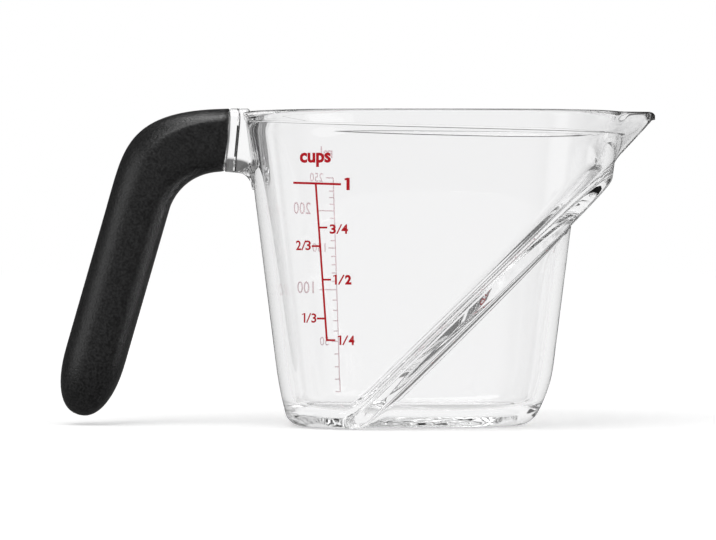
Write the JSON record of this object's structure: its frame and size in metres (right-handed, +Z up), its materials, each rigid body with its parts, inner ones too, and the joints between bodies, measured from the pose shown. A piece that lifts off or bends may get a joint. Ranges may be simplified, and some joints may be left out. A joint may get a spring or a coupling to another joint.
{
  "type": "measuring cup",
  "caption": "Clear tapered measuring cup with a sloping inner ledge, flared lip, V spout, red printed scales and a black soft grip handle.",
  "frame": {"origin": "middle of the base, on the surface that the cup stands on", "axes": "+X from the handle to the spout, +Y across the cup away from the cup scale, +Z up"},
  "size_m": [0.1606, 0.084, 0.0851],
  "materials": {
    "clear_plastic": "clear, polished",
    "soft_black": "fine matte grain",
    "red_ink": "printed"
  },
  "bodies": {
    "root": {"cup_body": "clear_plastic", "handle_grip": "soft_black", "cups_scale": "red_ink", "millilitre_scale": "red_ink", "ledge_scale": "red_ink"}
  },
  "joints": []
}
